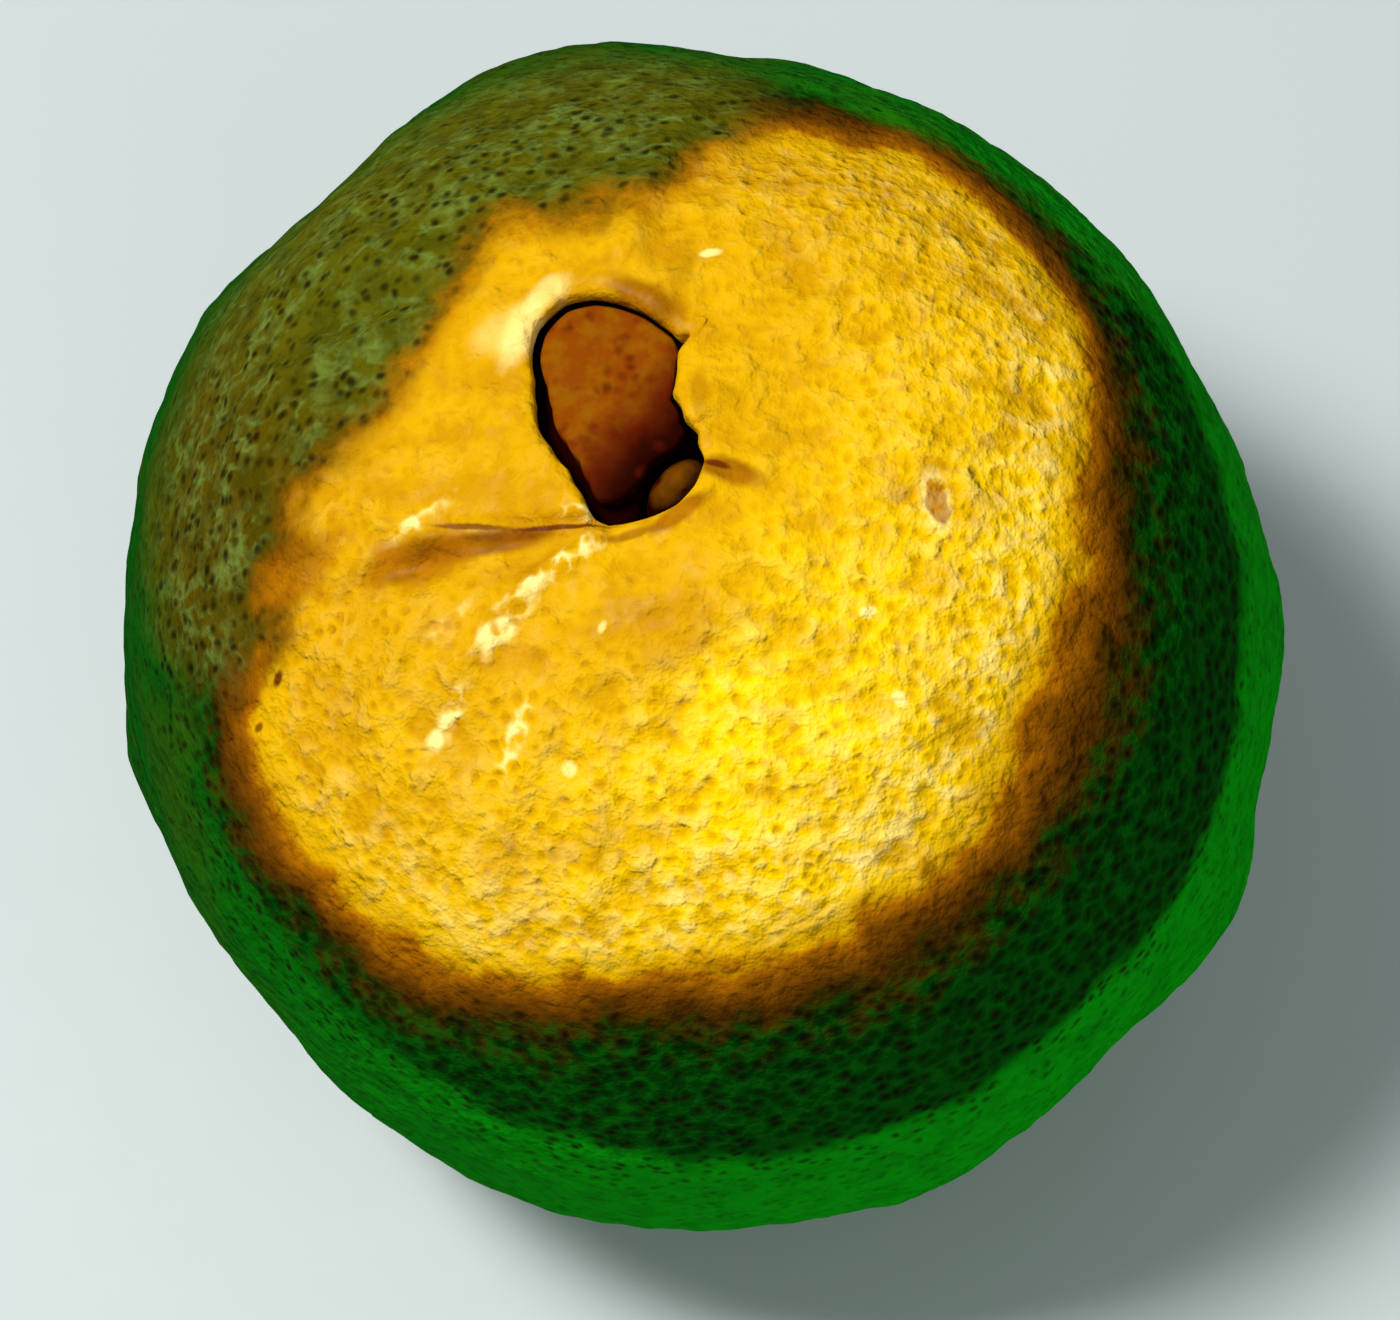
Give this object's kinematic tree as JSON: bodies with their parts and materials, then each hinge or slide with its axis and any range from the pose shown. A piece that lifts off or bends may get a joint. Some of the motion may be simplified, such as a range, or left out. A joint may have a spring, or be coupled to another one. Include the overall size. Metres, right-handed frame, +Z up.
{
  "type": "navel orange",
  "caption": "Whole navel orange with pitted rind, an open navel holding a small secondary fruit, folds running into it, and a green calyx button under the stem end.",
  "frame": {"origin": "bottom centre of the fruit's box, on the surface it rests on", "axes": "+Z up, from the stem end that it rests on to the navel; the navel leans towards -X; -Y is the side with the longest stretch of the opening and the best view of it"},
  "size_m": [0.0778, 0.0776, 0.0758],
  "materials": {
    "rind": "waxy pitted citrus rind, yellow around the navel and green towards the stem end",
    "fruitlet_rind": "smooth moist brown and maroon rind with sunken glands",
    "calyx_green": "dry matte green-brown button with a woody cut stem"
  },
  "bodies": {
    "root": {"orange": "rind", "navel_fruitlet": "fruitlet_rind", "navel_lobe": "fruitlet_rind", "calyx": "calyx_green"}
  },
  "joints": []
}
